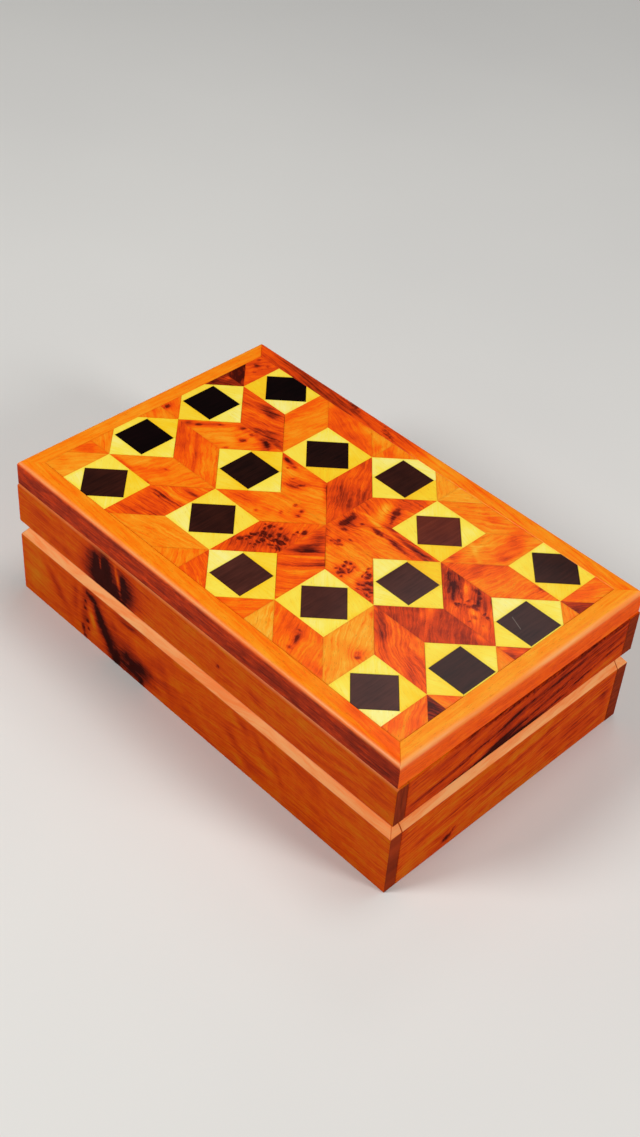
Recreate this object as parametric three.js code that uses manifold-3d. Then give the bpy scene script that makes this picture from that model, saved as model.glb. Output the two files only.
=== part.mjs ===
// Jewellery box of thuya wood with a star marquetry lid, in millimetres, +Z up.
// The origin is at the middle of the underside. +X runs along the front, +Y from the front to the back.
import * as THREE from "three";
import { mergeVertices } from "three/addons/utils/BufferGeometryUtils.js";
import Module from "manifold-3d";

const wasm = await Module();
wasm.setup();

// Driving dimensions of the case
const LENGTH = 200;
const DEPTH = 125;
const HEIGHT = 63.5;
const BOARD = 5.5;
const BASE_SHARE = 0.49;
const SEAM = 0.3;
const GLUE_LINE = 0.1;

// The V groove round the box at the seam
const GROOVE_DEPTH = 2.5;
const GROOVE_RISE = 3.4;

// Bottom panel, let into a rabbet of the base boards
const BOTTOM = 4;
const BOTTOM_RABBET = 2.5;

// Rim rails and the lid panel that they hold
const RIM_HEIGHT = 10.5;
const RIM_WIDTH = 7.5;
const RIM_SETBACK = 0.4;
const RIM_ROUND = 2;
const TONGUE = 4;
const TONGUE_REACH = 5;

// Marquetry: a star rhombus and a square have the same side, a share of the field's half length and half depth
const MODULE_ALONG_SHARE = 0.262;
const MODULE_ACROSS_SHARE = 0.4422;
const DARK_SIDE_SHARE = 0.664;
const STAR_X = 1.3;
const STAR_Y = 1;
const STAR_POINTS = 8;
const SQUARE_THICKNESS = 1.5;
const DARK_THICKNESS = 1;
const INLAY_LINE = 0.1;

// Back hinges
const HINGE_SHARE = 0.62;
const HINGE_LENGTH = 24;
const LEAF_HEIGHT = 12;
const LEAF_THICKNESS = 0.8;
const KNUCKLE_RADIUS = 1.3;
const PIN_RADIUS = 0.55;
const PIN_PLAY = 0.05;
const KNUCKLE_GAP = 0.25;
const LEAF_START = 1.8;
const BARREL_PLAY = 0.3;
const MORTISE_FIT = 0.1;
const SCREW_SPACING = 14;
const SCREW_DROP = 8.5;
const SCREW_HEAD_RADIUS = 1.4;
const SCREW_HEAD_HEIGHT = 0.7;
const SCREW_SHANK_RADIUS = 0.7;
const SCREW_LENGTH = 4;
const SCREW_FIT = 0.1;
const SLOT_WIDTH = 0.4;
const SLOT_DEPTH = 0.3;

// Counts, and an overrun for cuts
const ROUND_STEPS = 8;
const BARREL_SIDES = 24;
const SCREW_SIDES = 16;
const OVERRUN = 2;

// Places that several pieces share
const HALF_LENGTH = LENGTH / 2;
const HALF_DEPTH = DEPTH / 2;
const BASE_TOP = HEIGHT * BASE_SHARE;
const RIM_FOOT = HEIGHT - RIM_HEIGHT;
const LID_FOOT = BASE_TOP + SEAM;
const SEAM_MIDDLE = BASE_TOP + SEAM / 2;
const INNER_X = HALF_LENGTH - BOARD;
const INNER_Y = HALF_DEPTH - BOARD;
const RIM_OUTER_X = HALF_LENGTH - RIM_SETBACK;
const RIM_OUTER_Y = HALF_DEPTH - RIM_SETBACK;
const RIM_INNER_X = RIM_OUTER_X - RIM_WIDTH;
const RIM_INNER_Y = RIM_OUTER_Y - RIM_WIDTH;
const TONGUE_TOP = RIM_FOOT + TONGUE;
const FIELD_X = RIM_INNER_X - GLUE_LINE;
const FIELD_Y = RIM_INNER_Y - GLUE_LINE;
const MODULE_X = FIELD_X * MODULE_ALONG_SHARE;
const MODULE_Y = FIELD_Y * MODULE_ACROSS_SHARE;
const PIN_Y = HALF_DEPTH - KNUCKLE_RADIUS;
const HINGE_X = HALF_LENGTH * HINGE_SHARE;

// Finishes
const finish = (color, roughness, metalness = 0) =>
  new THREE.MeshStandardMaterial({ color, roughness, metalness });
const FINISHES = {
  orangeThuya: finish(0xc8590f, 0.4),
  redThuya: finish(0x8e2a0a, 0.4),
  goldThuya: finish(0xe0801c, 0.4),
  burl: finish(0xd9560f, 0.35),
  core: finish(0xc99a5b, 0.7),
  lemonwood: finish(0xf5d435, 0.4),
  ebony: finish(0x22130f, 0.3),
  brass: finish(0xc9a24a, 0.3, 1),
};

// A closed geometry as a solid that can be cut and joined
function solid(geometry) {
  const bare = geometry.clone();
  bare.deleteAttribute("normal");
  bare.deleteAttribute("uv");
  const merged = mergeVertices(bare);
  return new wasm.Manifold(
    new wasm.Mesh({
      numProp: 3,
      vertProperties: merged.attributes.position.array,
      triVerts: new Uint32Array(merged.index.array),
    }),
  );
}

// A solid as a geometry with flat faces
function geometryOf(body) {
  const mesh = body.getMesh();
  const geometry = new THREE.BufferGeometry();
  geometry.setAttribute("position", new THREE.BufferAttribute(mesh.vertProperties, mesh.numProp));
  geometry.setIndex(new THREE.BufferAttribute(mesh.triVerts, 1));
  const flat = geometry.toNonIndexed();
  flat.computeVertexNormals();
  return flat;
}

function slab(x0, x1, y0, y1, z0, z1) {
  const box = new THREE.BoxGeometry(x1 - x0, y1 - y0, z1 - z0);
  box.translate((x0 + x1) / 2, (y0 + y1) / 2, (z0 + z1) / 2);
  return solid(box);
}

// An outline of [a, b] points, extruded along Z from z0 to z1
function prism(points, z0, z1) {
  const shape = new THREE.Shape(points.map(([x, y]) => new THREE.Vector2(x, y)));
  const geometry = new THREE.ExtrudeGeometry(shape, { depth: z1 - z0, bevelEnabled: false });
  geometry.translate(0, 0, z0);
  return solid(geometry);
}

// The outline (across, up) swept along the box's length, and the same swept along its depth
function sweptAlongX(points, reach) {
  const shape = new THREE.Shape(points.map(([y, z]) => new THREE.Vector2(y, z)));
  const geometry = new THREE.ExtrudeGeometry(shape, { depth: reach * 2, bevelEnabled: false });
  geometry.translate(0, 0, -reach);
  geometry.rotateY(Math.PI / 2);
  geometry.rotateX(Math.PI / 2);
  return solid(geometry);
}

function sweptAlongY(points, reach) {
  const shape = new THREE.Shape(points.map(([x, z]) => new THREE.Vector2(x, z)));
  const geometry = new THREE.ExtrudeGeometry(shape, { depth: reach * 2, bevelEnabled: false });
  geometry.translate(0, 0, -reach);
  geometry.rotateX(Math.PI / 2);
  return solid(geometry);
}

// A block whose four sides all have the same edge profile: the profile gives [inset, z] from the foot up
function profiledBlock(halfX, halfY, profile) {
  const outline = (half) => [
    ...profile.map(([inset, z]) => [half - inset, z]),
    ...profile.map(([inset, z]) => [inset - half, z]).reverse(),
  ];
  const along = sweptAlongX(outline(halfY), halfX + OVERRUN);
  const across = sweptAlongY(outline(halfX), halfY + OVERRUN);
  return along.intersect(across);
}

const BASE_BLOCK = profiledBlock(HALF_LENGTH, HALF_DEPTH, [
  [0, 0],
  [0, BASE_TOP - GROOVE_RISE],
  [GROOVE_DEPTH, BASE_TOP],
]);

const LID_BLOCK = profiledBlock(HALF_LENGTH, HALF_DEPTH, [
  [GROOVE_DEPTH, LID_FOOT],
  [0, LID_FOOT + GROOVE_RISE],
  [0, RIM_FOOT],
]);

const rimRound = Array.from({ length: ROUND_STEPS + 1 }, (_, i) => {
  const turn = (Math.PI / 2) * (i / ROUND_STEPS);
  return [RIM_ROUND * (1 - Math.cos(turn)), HEIGHT - RIM_ROUND * (1 - Math.sin(turn))];
});
const RIM_BLOCK = profiledBlock(RIM_OUTER_X, RIM_OUTER_Y, [[0, RIM_FOOT], ...rimRound]);

// The four boards of a wall: long ones run full length, short ones fit between them
function wallBoards(block, z0, z1, cuts) {
  const short = INNER_Y - GLUE_LINE;
  const places = {
    front: slab(-HALF_LENGTH, HALF_LENGTH, -HALF_DEPTH, -INNER_Y, z0, z1),
    back: slab(-HALF_LENGTH, HALF_LENGTH, INNER_Y, HALF_DEPTH, z0, z1),
    left: slab(-HALF_LENGTH, -INNER_X, -short, short, z0, z1),
    right: slab(INNER_X, HALF_LENGTH, -short, short, z0, z1),
  };
  return Object.entries(places).map(([side, board]) => [
    side,
    cuts.reduce((left, cut) => left.subtract(cut), board.intersect(block)),
  ]);
}

// Rim rails, mitred at the corners and rabbeted over the lid panel's tongue
function rimRails(rabbet) {
  const mitre = GLUE_LINE / 2;
  const long = (side) => [
    [-RIM_OUTER_X + mitre, RIM_OUTER_Y * side],
    [RIM_OUTER_X - mitre, RIM_OUTER_Y * side],
    [RIM_INNER_X - mitre, RIM_INNER_Y * side],
    [-RIM_INNER_X + mitre, RIM_INNER_Y * side],
  ];
  const short = (side) => [
    [RIM_OUTER_X * side, -RIM_OUTER_Y + mitre],
    [RIM_OUTER_X * side, RIM_OUTER_Y - mitre],
    [RIM_INNER_X * side, RIM_INNER_Y - mitre],
    [RIM_INNER_X * side, -RIM_INNER_Y + mitre],
  ];
  const outlines = { front: long(-1), back: long(1), left: short(-1), right: short(1) };
  return Object.entries(outlines).map(([side, points]) => [
    side,
    prism(points, RIM_FOOT, HEIGHT).intersect(RIM_BLOCK).subtract(rabbet),
  ]);
}

// Marquetry places, in rhombus sides from the star's centre
const SLANT_SHARE = Math.SQRT1_2;
const NOTCH_SHARE = 1 + SLANT_SHARE;
const END_SHARE = 2 + 2 * SLANT_SHARE;
const CORNER_X_SHARE = 1.5 + 2 * SLANT_SHARE;
const CORNER_Y_SHARE = 0.5 + 2 * SLANT_SHARE;
const LEVEL = 0;
const DIAMOND = Math.PI / 4;
const NOTCHES = Array.from({ length: STAR_POINTS }, (_, i) => (i * 2 * Math.PI) / STAR_POINTS);
const SQUARES = [
  ...NOTCHES.map((angle, i) => ({
    x: NOTCH_SHARE * Math.cos(angle),
    y: NOTCH_SHARE * Math.sin(angle),
    turn: i % 2 ? LEVEL : DIAMOND,
  })),
  ...[-1, 1].flatMap((end) =>
    [-1, 1].flatMap((side) => [
      { x: end * END_SHARE, y: side * SLANT_SHARE, turn: DIAMOND },
      { x: end * CORNER_X_SHARE, y: side * CORNER_Y_SHARE, turn: LEVEL },
    ]),
  ),
];

// The four corners of a square at a marquetry place, its side a share of the rhombus's
function squareAt(place, sideShare, extraTurn = 0) {
  const radiusShare = sideShare * Math.SQRT1_2;
  const first = place.turn + extraTurn + Math.PI / 4;
  return [0, 1, 2, 3].map((i) => {
    const angle = first + (i * Math.PI) / 2;
    return [
      STAR_X + (place.x + radiusShare * Math.cos(angle)) * MODULE_X,
      STAR_Y + (place.y + radiusShare * Math.sin(angle)) * MODULE_Y,
    ];
  });
}

// An outline trimmed to the rectangle inside the rim
function trimmed(points) {
  const limits = [
    [0, 1, FIELD_X],
    [0, -1, FIELD_X],
    [1, 1, FIELD_Y],
    [1, -1, FIELD_Y],
  ];
  return limits.reduce((outline, [axis, sign, limit]) => {
    const over = (p) => p[axis] * sign - limit;
    return outline.flatMap((p, i) => {
      const next = outline[(i + 1) % outline.length];
      const kept = over(p) <= 0 ? [p] : [];
      if (over(p) * over(next) >= 0) return kept;
      const share = over(p) / (over(p) - over(next));
      return [...kept, [p[0] + (next[0] - p[0]) * share, p[1] + (next[1] - p[1]) * share]];
    });
  }, points);
}

const LINE_SHARE = INLAY_LINE / MODULE_X;
const POCKET_SIDE_SHARE = 1 - LINE_SHARE;
const YELLOW_SIDE_SHARE = POCKET_SIDE_SHARE - 2 * LINE_SHARE;
const DARK_FIT_SHARE = DARK_SIDE_SHARE - 2 * LINE_SHARE;
const SQUARE_FLOOR = HEIGHT - SQUARE_THICKNESS;
const DARK_FLOOR = HEIGHT - DARK_THICKNESS;
const SQUARE_TURN = Math.PI / 4;

// Each lemon-yellow square has a pocket for its dark square, turned by an eighth of a circle
function marquetrySquares() {
  return SQUARES.flatMap((place, i) => {
    const number = String(i + 1).padStart(2, "0");
    const outline = trimmed(squareAt(place, YELLOW_SIDE_SHARE));
    const dark = trimmed(squareAt(place, DARK_FIT_SHARE, SQUARE_TURN));
    const pocket = prism(squareAt(place, DARK_SIDE_SHARE, SQUARE_TURN), DARK_FLOOR, HEIGHT + OVERRUN);
    const yellow = prism(outline, SQUARE_FLOOR, HEIGHT).subtract(pocket);
    return [
      [`yellow_square_${number}`, yellow, FINISHES.lemonwood],
      [`dark_square_${number}`, prism(dark, DARK_FLOOR, HEIGHT), FINISHES.ebony],
    ];
  });
}

// The lid panel: a field flush with the rim, on a tongue that runs under the rails
function lidPanel() {
  const tongueX = RIM_INNER_X + TONGUE_REACH - GLUE_LINE;
  const tongueY = RIM_INNER_Y + TONGUE_REACH - GLUE_LINE;
  const tongue = slab(-tongueX, tongueX, -tongueY, tongueY, RIM_FOOT, TONGUE_TOP);
  const field = slab(-FIELD_X, FIELD_X, -FIELD_Y, FIELD_Y, RIM_FOOT, HEIGHT);
  const pockets = SQUARES.map((place) =>
    prism(squareAt(place, POCKET_SIDE_SHARE), SQUARE_FLOOR, HEIGHT + OVERRUN),
  );
  return pockets.reduce((panel, pocket) => panel.subtract(pocket), tongue.add(field));
}

function tongueRabbet() {
  const x = RIM_INNER_X + TONGUE_REACH;
  const y = RIM_INNER_Y + TONGUE_REACH;
  return slab(-x, x, -y, y, RIM_FOOT - OVERRUN, TONGUE_TOP);
}

// A cylinder along the hinge's axis, from x0 to x1
function barrel(x0, x1, radius) {
  const geometry = new THREE.CylinderGeometry(radius, radius, x1 - x0, BARREL_SIDES);
  geometry.rotateZ(Math.PI / 2);
  geometry.translate((x0 + x1) / 2, PIN_Y, SEAM_MIDDLE);
  return solid(geometry);
}

// A countersunk screw's outline turned about its axis, pointing into the board at (x, z)
function screwBody(x, z, fit, overrun) {
  const shank = SCREW_SHANK_RADIUS + fit;
  const head = SCREW_HEAD_RADIUS + fit;
  const crown = overrun > 0 ? [[head, overrun], [0, overrun]] : [[0, 0]];
  const profile = [
    [0, -SCREW_LENGTH - fit],
    [shank, -SCREW_LENGTH - fit],
    [shank, -SCREW_HEAD_HEIGHT],
    [head, 0],
    ...crown,
  ];
  const geometry = new THREE.LatheGeometry(
    profile.map(([radius, depth]) => new THREE.Vector2(radius, depth)),
    SCREW_SIDES,
  );
  geometry.translate(0, HALF_DEPTH, 0);
  const body = solid(geometry);
  return body.translate([x, 0, z]);
}

// Which way each body lies from the hinge's axis
const BASE_SIDE = -1;
const LID_SIDE = 1;

function span(side, near, far, x0, x1, y0, y1) {
  const z = [SEAM_MIDDLE + side * near, SEAM_MIDDLE + side * far].sort((a, b) => a - b);
  return slab(x0, x1, y0, y1, z[0], z[1]);
}

function screwPlaces(x, side) {
  return [-1, 1].map((hand) => [x + (hand * SCREW_SPACING) / 2, SEAM_MIDDLE + side * SCREW_DROP]);
}

// One leaf with its knuckles: the base leaf has the two outer ones, the lid leaf the middle one
function hingeLeaf(x, side) {
  const half = HINGE_LENGTH / 2;
  const quarter = HINGE_LENGTH / 4;
  const inner = quarter + (KNUCKLE_GAP / 2) * -side;
  const spans = side === LID_SIDE ? [[-inner, inner]] : [[-half, -inner], [inner, half]];
  const face = HALF_DEPTH - LEAF_THICKNESS;
  const plate = span(side, LEAF_START, LEAF_HEIGHT, x - half, x + half, face, HALF_DEPTH);
  const rolled = spans.reduce((leaf, [a, b]) => {
    const web = span(side, 0, LEAF_START, x + a, x + b, face, HALF_DEPTH);
    return leaf.add(web).add(barrel(x + a, x + b, KNUCKLE_RADIUS));
  }, plate);
  const bore = barrel(x - half - OVERRUN, x + half + OVERRUN, PIN_RADIUS + PIN_PLAY);
  return screwPlaces(x, side).reduce(
    (leaf, [sx, sz]) => leaf.subtract(screwBody(sx, sz, SCREW_FIT, OVERRUN)),
    rolled.subtract(bore),
  );
}

function hingeScrew([x, z]) {
  const slot = slab(
    x - SCREW_HEAD_RADIUS - OVERRUN,
    x + SCREW_HEAD_RADIUS + OVERRUN,
    HALF_DEPTH - SLOT_DEPTH,
    HALF_DEPTH + OVERRUN,
    z - SLOT_WIDTH / 2,
    z + SLOT_WIDTH / 2,
  );
  return screwBody(x, z, 0, 0).subtract(slot);
}

// What the back boards lose to a hinge: the leaf's mortise, room for the barrel and the screw holes
function hingeCuts(x, side) {
  const half = HINGE_LENGTH / 2 + MORTISE_FIT;
  const floor = HALF_DEPTH - LEAF_THICKNESS - MORTISE_FIT;
  const far = LEAF_HEIGHT + MORTISE_FIT;
  const mortise = span(side, 0, far, x - half, x + half, floor, HALF_DEPTH + OVERRUN);
  const room = barrel(x - half, x + half, KNUCKLE_RADIUS + BARREL_PLAY);
  const holes = screwPlaces(x, side).map(([sx, sz]) => screwBody(sx, sz, SCREW_FIT, OVERRUN));
  return [mortise, room, ...holes];
}

const HINGES = { left: -HINGE_X, right: HINGE_X };

function hingePieces(side, bodyName) {
  return Object.entries(HINGES).flatMap(([hand, x]) => [
    [`${hand}_hinge_${bodyName}_leaf`, hingeLeaf(x, side), FINISHES.brass],
    ...screwPlaces(x, side).map((place, i) => [
      `${hand}_hinge_${bodyName}_screw_${i + 1}`,
      hingeScrew(place),
      FINISHES.brass,
    ]),
  ]);
}

function basePieces() {
  const rabbetX = INNER_X + BOTTOM_RABBET;
  const rabbetY = INNER_Y + BOTTOM_RABBET;
  const rabbet = slab(-rabbetX, rabbetX, -rabbetY, rabbetY, -OVERRUN, BOTTOM);
  const cuts = [rabbet, ...Object.values(HINGES).flatMap((x) => hingeCuts(x, BASE_SIDE))];
  const boards = wallBoards(BASE_BLOCK, 0, BASE_TOP, cuts);
  const panelX = rabbetX - GLUE_LINE;
  const panelY = rabbetY - GLUE_LINE;
  return [
    ...boards.map(([side, board]) => [`base_${side}_board`, board, FINISHES.orangeThuya]),
    ["base_bottom_panel", slab(-panelX, panelX, -panelY, panelY, 0, BOTTOM), FINISHES.core],
    ...hingePieces(BASE_SIDE, "base"),
    ...Object.entries(HINGES).map(([hand, x]) => [
      `${hand}_hinge_pin`,
      barrel(x - HINGE_LENGTH / 2, x + HINGE_LENGTH / 2, PIN_RADIUS),
      FINISHES.brass,
    ]),
  ];
}

function lidPieces() {
  const cuts = Object.values(HINGES).flatMap((x) => hingeCuts(x, LID_SIDE));
  const boards = wallBoards(LID_BLOCK, LID_FOOT, RIM_FOOT, cuts);
  const rimFinish = {
    front: FINISHES.redThuya,
    back: FINISHES.redThuya,
    left: FINISHES.orangeThuya,
    right: FINISHES.goldThuya,
  };
  return [
    ...boards.map(([side, board]) => [`lid_${side}_board`, board, FINISHES.orangeThuya]),
    ...rimRails(tongueRabbet()).map(([side, rail]) => [`rim_${side}_rail`, rail, rimFinish[side]]),
    ["lid_panel", lidPanel(), FINISHES.burl],
    ...marquetrySquares(),
    ...hingePieces(LID_SIDE, "lid"),
  ];
}

function group(pieces) {
  const holder = new THREE.Group();
  for (const [name, body, material] of pieces) {
    const mesh = new THREE.Mesh(geometryOf(body), material);
    mesh.name = name;
    holder.add(mesh);
  }
  return holder;
}

const box = new THREE.Group();
box.add(group(basePieces()), group(lidPieces()));

export default box;
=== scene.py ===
import math

import bmesh
import bpy
from mathutils import Matrix, Vector


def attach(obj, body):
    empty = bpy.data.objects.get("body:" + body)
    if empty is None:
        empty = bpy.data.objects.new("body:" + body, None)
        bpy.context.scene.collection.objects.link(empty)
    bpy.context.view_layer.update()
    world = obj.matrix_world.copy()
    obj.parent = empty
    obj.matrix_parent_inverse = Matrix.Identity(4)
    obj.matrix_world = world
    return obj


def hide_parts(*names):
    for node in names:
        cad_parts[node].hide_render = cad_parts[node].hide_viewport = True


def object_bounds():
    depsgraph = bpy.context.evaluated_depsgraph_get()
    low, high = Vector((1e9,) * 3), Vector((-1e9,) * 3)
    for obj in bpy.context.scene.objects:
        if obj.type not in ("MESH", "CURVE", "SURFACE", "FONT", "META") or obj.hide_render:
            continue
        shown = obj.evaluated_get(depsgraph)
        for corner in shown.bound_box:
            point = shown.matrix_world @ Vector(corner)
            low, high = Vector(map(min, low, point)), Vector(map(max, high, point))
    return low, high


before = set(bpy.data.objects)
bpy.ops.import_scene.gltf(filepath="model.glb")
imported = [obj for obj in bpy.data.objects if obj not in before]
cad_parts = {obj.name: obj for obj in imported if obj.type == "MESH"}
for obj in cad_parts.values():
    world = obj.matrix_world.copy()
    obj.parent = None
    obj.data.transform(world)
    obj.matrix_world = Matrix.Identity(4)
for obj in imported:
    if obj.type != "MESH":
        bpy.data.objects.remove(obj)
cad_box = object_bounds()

# Sizes of the case, in millimetres as its maker would write them
MM = 0.001
HALF_LENGTH, HALF_DEPTH, HEIGHT = (round(reach / MM, 3) for reach in cad_box[1])
BASE_SHARE = 0.49
SEAM = 0.3
BOARD = 5.5
GROOVE_DEPTH = 2.5
GROOVE_RISE = 3.4
BOTTOM = 4
BOTTOM_RABBET = 2.5
RIM_HEIGHT = 10.5
RIM_WIDTH = 7.5
RIM_SETBACK = 0.4
RIM_ROUND = 2
LEDGE = 1.2
TONGUE = 4
TONGUE_REACH = 5
GLUE_LINE = 0.1
GLUE_BED = 0.5
VENEER = 1.5
MODULE = 24.1
STAR_MIDDLE = (1.3, 1.0)
DARK_SIDE = 16

# Places that follow from them
BASE_TOP = HEIGHT * BASE_SHARE
LID_FOOT = BASE_TOP + SEAM
INNER_X = HALF_LENGTH - BOARD
INNER_Y = HALF_DEPTH - BOARD
SHORT = INNER_Y - GLUE_LINE
BOTTOM_ROOM = (INNER_X + BOTTOM_RABBET, INNER_Y + BOTTOM_RABBET)
RIM_FOOT = HEIGHT - RIM_HEIGHT
RIM_OUTER = (HALF_LENGTH - RIM_SETBACK, HALF_DEPTH - RIM_SETBACK)
RIM_INNER = tuple(reach - RIM_WIDTH for reach in RIM_OUTER)
TONGUE_ROOM = tuple(reach + TONGUE_REACH for reach in RIM_INNER)
FIELD = tuple(reach - GLUE_LINE for reach in RIM_INNER)


def ink(code):
    """A colour as a paint chart gives it, for a shader that wants light."""
    parts = [int(code[i : i + 2], 16) / 255 for i in (0, 2, 4)]
    light = [p / 12.92 if p <= 0.04045 else ((p + 0.055) / 1.055) ** 2.4 for p in parts]
    return (*light, 1)


# Shader maths

class Tone:
    """A socket of a finish, which takes part in sums with numbers and other tones."""

    def __init__(self, finish, socket):
        self.finish = finish
        self.socket = socket

    def maths(self, operation, *others):
        return self.finish.node("Math", {"operation": operation}, (self, *others))

    def __add__(self, other):
        return self.maths("ADD", other)

    def __sub__(self, other):
        return self.maths("SUBTRACT", other)

    def __rsub__(self, other):
        return self.finish.node("Math", {"operation": "SUBTRACT"}, (other, self))

    def __mul__(self, other):
        return self.maths("MULTIPLY", other)

    def __abs__(self):
        return self.maths("ABSOLUTE")

    __radd__ = __add__
    __rmul__ = __mul__


class Finish:
    """A material and the nodes that make it."""

    def __init__(self, name):
        self.material = bpy.data.materials.new(name)
        self.material.use_nodes = True
        self.tree = self.material.node_tree
        self.tree.nodes.clear()

    def node(self, kind, settings=None, values=(), out=0):
        """Adds a shader node: its settings, then the values or links of its sockets, by place or name."""
        made = self.tree.nodes.new("ShaderNode" + kind)
        for key, value in (settings or {}).items():
            if key == "stops":
                self.set_stops(made.color_ramp, value)
            else:
                setattr(made, key, value)
        for key, value in values.items() if isinstance(values, dict) else enumerate(values):
            if isinstance(value, Tone):
                self.tree.links.new(value.socket, made.inputs[key])
            elif value is not None:
                made.inputs[key].default_value = value
        return Tone(self, made.outputs[out]) if made.outputs else None

    def set_stops(self, ramp, stops):
        while len(ramp.elements) < len(stops):
            ramp.elements.new(1)
        for element, (place, code) in zip(ramp.elements, stops):
            element.position = place
            element.color = ink(code)

    def other(self, tone, out):
        """Another output of the node that gave this tone."""
        return Tone(self, tone.socket.node.outputs[out])

    def attribute(self, name):
        return self.node("Attribute", {"attribute_name": name}, out="Color")

    def split(self, vector):
        first = self.node("SeparateXYZ", None, (vector,))
        return first, self.other(first, 1), self.other(first, 2)

    def vector(self, operation, *values):
        return self.node("VectorMath", {"operation": operation}, values)

    def noise(self, place, scale, detail=2, roughness=0.5, out=0):
        values = {"Vector": place, "Scale": scale, "Detail": detail, "Roughness": roughness}
        return self.node("TexNoise", {"noise_dimensions": "3D"}, values, out)

    def stretched(self, place, stretch, scale, detail=2, roughness=0.5):
        """Noise drawn out along the grain: stretch is the share of the scale along each axis."""
        return self.noise(self.vector("MULTIPLY", place, stretch), scale, detail, roughness)

    def fade(self, value, low, high):
        """0 at the low value, 1 at the high one and smooth between them."""
        settings = {"interpolation_type": "SMOOTHSTEP", "clamp": True}
        return self.node("MapRange", settings, (value, low, high, 0.0, 1.0))

    def mix(self, share, a, b, blend="MIX"):
        settings = {"data_type": "RGBA", "blend_type": blend, "clamp_factor": True}
        return self.node("Mix", settings, {0: share, 6: a, 7: b}, out=2)

    def ramp(self, value, *stops):
        return self.node("ValToRGB", {"stops": stops}, (value,))

    def bump(self, height, strength, distance):
        values = {"Strength": strength, "Distance": distance * MM, "Height": height}
        return self.node("Bump", None, values)

    def box_place(self):
        """The place on the box in millimetres, for a piece that carries no painted grain."""
        place = self.node("TexCoord", out="Object")
        return self.vector("MULTIPLY", place, (1 / MM, 1 / MM, 1 / MM))

    def facing(self, axis):
        """How squarely a face looks along an axis, either way, from 0 to 1."""
        return abs(self.split(self.node("TexCoord", out="Normal"))[axis])

    def surface(self, **values):
        """The shader itself; a name's underscores stand for spaces."""
        named = {key.replace("_", " "): value for key, value in values.items()}
        shader = self.node("BsdfPrincipled", None, named)
        self.node("OutputMaterial", None, {"Surface": shader})
        return self.material


# Finishes of the woods and the brass

# From the palest wood to the darkest
THUYA_TONES = (
    (0.0, "FAC34B"), (0.2, "FAA123"), (0.38, "FA810E"), (0.52, "FA5D09"),
    (0.68, "E0440D"), (0.84, "9A2A0D"), (1.0, "430D06"),
)
# The two uses of the wood. A tile's painted edge is dark glue, and a plank's is a painted highlight on its
# bevel and rounded edges
TILE = {
    "knot": ink("6E1905"),
    "knot_fade": (0.36, 0.8),
    "edge": (ink("842307"), ink("842307")),
    "edge_share": 0.14,
}
PLANK = {
    "knot": ink("2A0400"),
    "knot_fade": (0.26, 0.9),
    "edge": (ink("FF904C"), ink("FFBB79")),
    "edge_share": 0.94,
}


def bend_grain(wood, place, bend):
    """Grain that wanders over centimetres and ripples over millimetres."""
    wander = wood.noise(place, 0.07, 3, out="Color")
    bent = wood.vector("MULTIPLY_ADD", wander, (4 * bend, 5 * bend, 0), place)
    ripple = wood.noise(place, 0.45, 2, out="Color")
    return wood.vector("MULTIPLY_ADD", ripple, (1.4 * bend, 1.2 * bend, 0), bent)


def burl_eyes(wood, bent, eyes):
    """Round eyes and the halo round each. The eyes' share says how many of the cells hold one."""
    settings = {"feature": "F1", "voronoi_dimensions": "2D"}
    cells = wood.node("TexVoronoi", settings, {"Vector": bent, "Scale": 0.5})
    chance, size, _ = wood.split(wood.other(cells, "Color"))
    reach = 0.16 + 0.26 * size
    chosen = wood.fade(eyes - chance, -0.02, 0.06) * wood.fade(eyes, 0.02, 0.1)
    eye = wood.fade(reach - cells, -0.04, 0.2) * chosen
    halo = wood.fade(reach * 2.4 - cells, 0.0, 0.6) * chosen
    return eye, halo


def end_rings(wood, place, colour):
    """Growth rings over the ends of a board that runs along X."""
    rings = wood.stretched(place, (0.3, 0.07, 1), 1.6, 3) - 0.5
    ends = wood.ramp(0.5 + rings, (0.2, "A13610"), (0.5, "842A0C"), (0.8, "5B1B09"))
    return wood.mix(wood.fade(wood.facing(0), 0.85, 0.95), colour, ends)


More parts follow.
